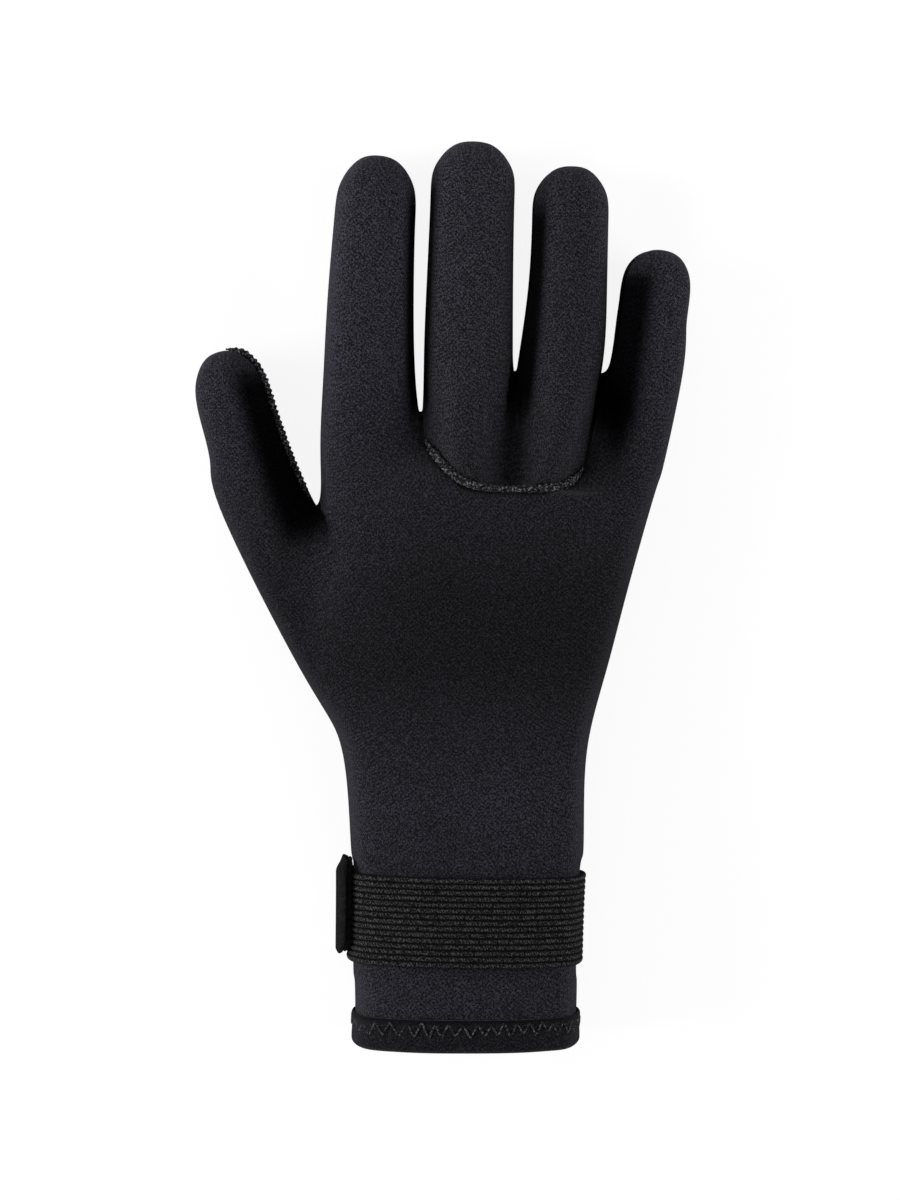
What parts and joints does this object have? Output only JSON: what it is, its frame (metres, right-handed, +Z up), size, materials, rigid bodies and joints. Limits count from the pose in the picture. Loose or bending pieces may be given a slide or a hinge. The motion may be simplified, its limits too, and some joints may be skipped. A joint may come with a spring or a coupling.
{
  "type": "diving glove",
  "caption": "Right-hand diving glove in black neoprene with a finger insert, raised seams, ribbed elastic wrist strap with side tab, and stitched hem",
  "frame": {"origin": "bottom centre of the glove's box, on the surface it lies on", "axes": "+Y to the fingertips, +X to the little finger's side, +Z up out of the back of the hand"},
  "size_m": [0.1446, 0.2614, 0.0423],
  "materials": {
    "neoprene": "matt black knit faced neoprene",
    "seam_thread": "black seam with grey thread",
    "elastic": "ribbed black woven elastic",
    "loop_cloth": "black brushed loop cloth"
  },
  "bodies": {
    "root": {"back_panel": "neoprene", "finger_insert": "neoprene", "palm_panel": "neoprene", "knuckle_seam": "seam_thread", "thumb_seam": "seam_thread", "wrist_strap": "elastic", "hem_binding": "neoprene", "loop_patch": "loop_cloth", "fastening_tab": "elastic"}
  },
  "joints": []
}
